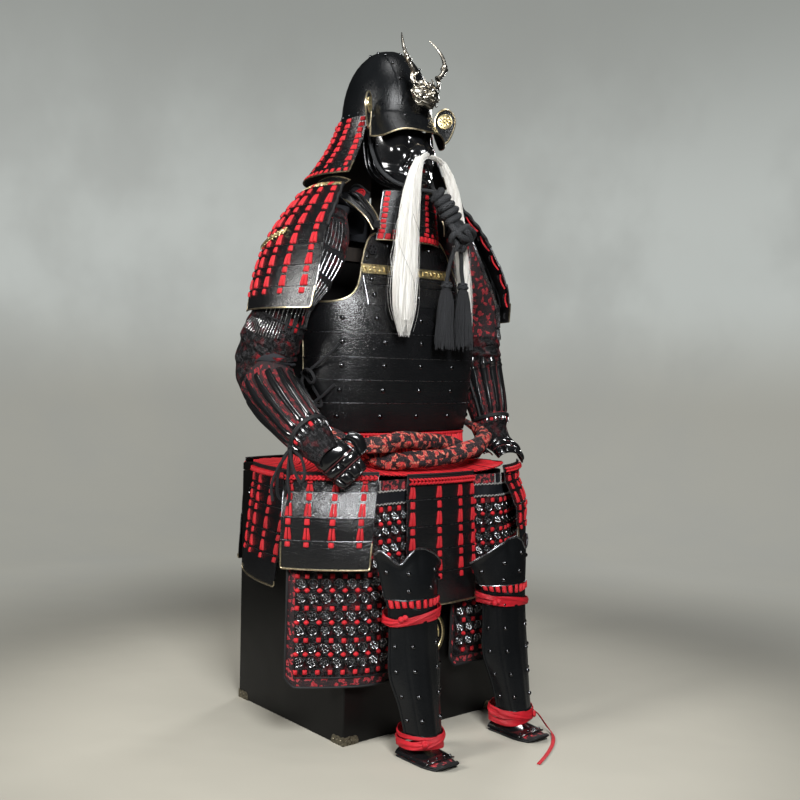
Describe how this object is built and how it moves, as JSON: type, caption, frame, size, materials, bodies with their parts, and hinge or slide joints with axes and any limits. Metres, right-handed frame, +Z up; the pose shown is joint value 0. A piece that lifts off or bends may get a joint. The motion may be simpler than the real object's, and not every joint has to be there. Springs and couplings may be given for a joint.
{
  "type": "samurai armour on its storage chest",
  "caption": "Seated samurai armour: helmet, mask, cuirass, laced shoulder guards, sleeves, tassets, thigh and shin guards, resting on a lidded storage chest.",
  "frame": {"origin": "on the floor, under the middle of the whole in plan, free cord ends left out", "axes": "+Z up, the armour faces -Y, the wearer's left is +X"},
  "size_m": [0.7074, 0.7661, 1.5046],
  "materials": {
    "black_lacquer": "satin black lacquer with a fine pebbled grain",
    "gloss_lacquer": "gloss black lacquer",
    "red_lacing": "red flat-braided silk lacing",
    "brocade": "dark brocade lined with hemp",
    "dark_cord": "charcoal braided silk cord",
    "white_hair": "long white hair",
    "antique_silver": "antique silver",
    "chest_black": "satin black lacquered boards",
    "stand_wood": "plain dull wood"
  },
  "bodies": {
    "root": {"ankle_wrap_left": "red_lacing", "ankle_wrap_right": "red_lacing", "chest_body": "chest_black", "chest_lid": "chest_black", "chin_cord_end_a": "dark_cord", "chin_cord_end_b": "dark_cord", "chin_cord_knot": "dark_cord", "collar": "black_lacquer", "crest_head": "antique_silver", "crest_horn_left": "antique_silver", "crest_horn_right": "antique_silver", "cuirass": "black_lacquer", "face_mask": "gloss_lacquer", "foot_plate_left": "gloss_lacquer", "foot_plate_right": "gloss_lacquer", "foot_sole_left": "brocade", "foot_sole_right": "brocade", "foot_tie_end": "red_lacing", "forearm_splints_left": "gloss_lacquer", "forearm_splints_right": "gloss_lacquer", "hand_guard_left": "gloss_lacquer", "hand_guard_right": "gloss_lacquer", "helmet_bowl": "black_lacquer", "helmet_visor": "black_lacquer", "helmet_wing_left": "black_lacquer", "helmet_wing_right": "black_lacquer", "knee_tie_left": "red_lacing", "knee_tie_right": "red_lacing", "kneecap_left": "black_lacquer", "kneecap_right": "black_lacquer", "moustache_left": "white_hair", "moustache_right": "white_hair", "neck_guard": "black_lacquer", "sash_strand_a": "brocade", "sash_strand_b": "brocade", "shin_guard_left": "black_lacquer", "shin_guard_right": "black_lacquer", "shoulder_guard_left": "black_lacquer", "shoulder_guard_right": "black_lacquer", "shoulder_strap_left": "black_lacquer", "shoulder_strap_right": "black_lacquer", "side_tie_right": "dark_cord", "skirt_lacing": "red_lacing", "sleeve_left": "brocade", "sleeve_right": "brocade", "stand_frame": "stand_wood", "tassel_a": "dark_cord", "tassel_b": "dark_cord", "tasset_back_left": "black_lacquer", "tasset_back_right": "black_lacquer", "tasset_front": "black_lacquer", "tasset_front_left": "black_lacquer", "tasset_front_right": "black_lacquer", "tasset_side_left": "black_lacquer", "tasset_side_right": "black_lacquer", "thigh_guard_left": "brocade", "thigh_guard_right": "brocade", "throat_guard": "black_lacquer", "wrist_tie_right": "dark_cord"}
  },
  "joints": []
}
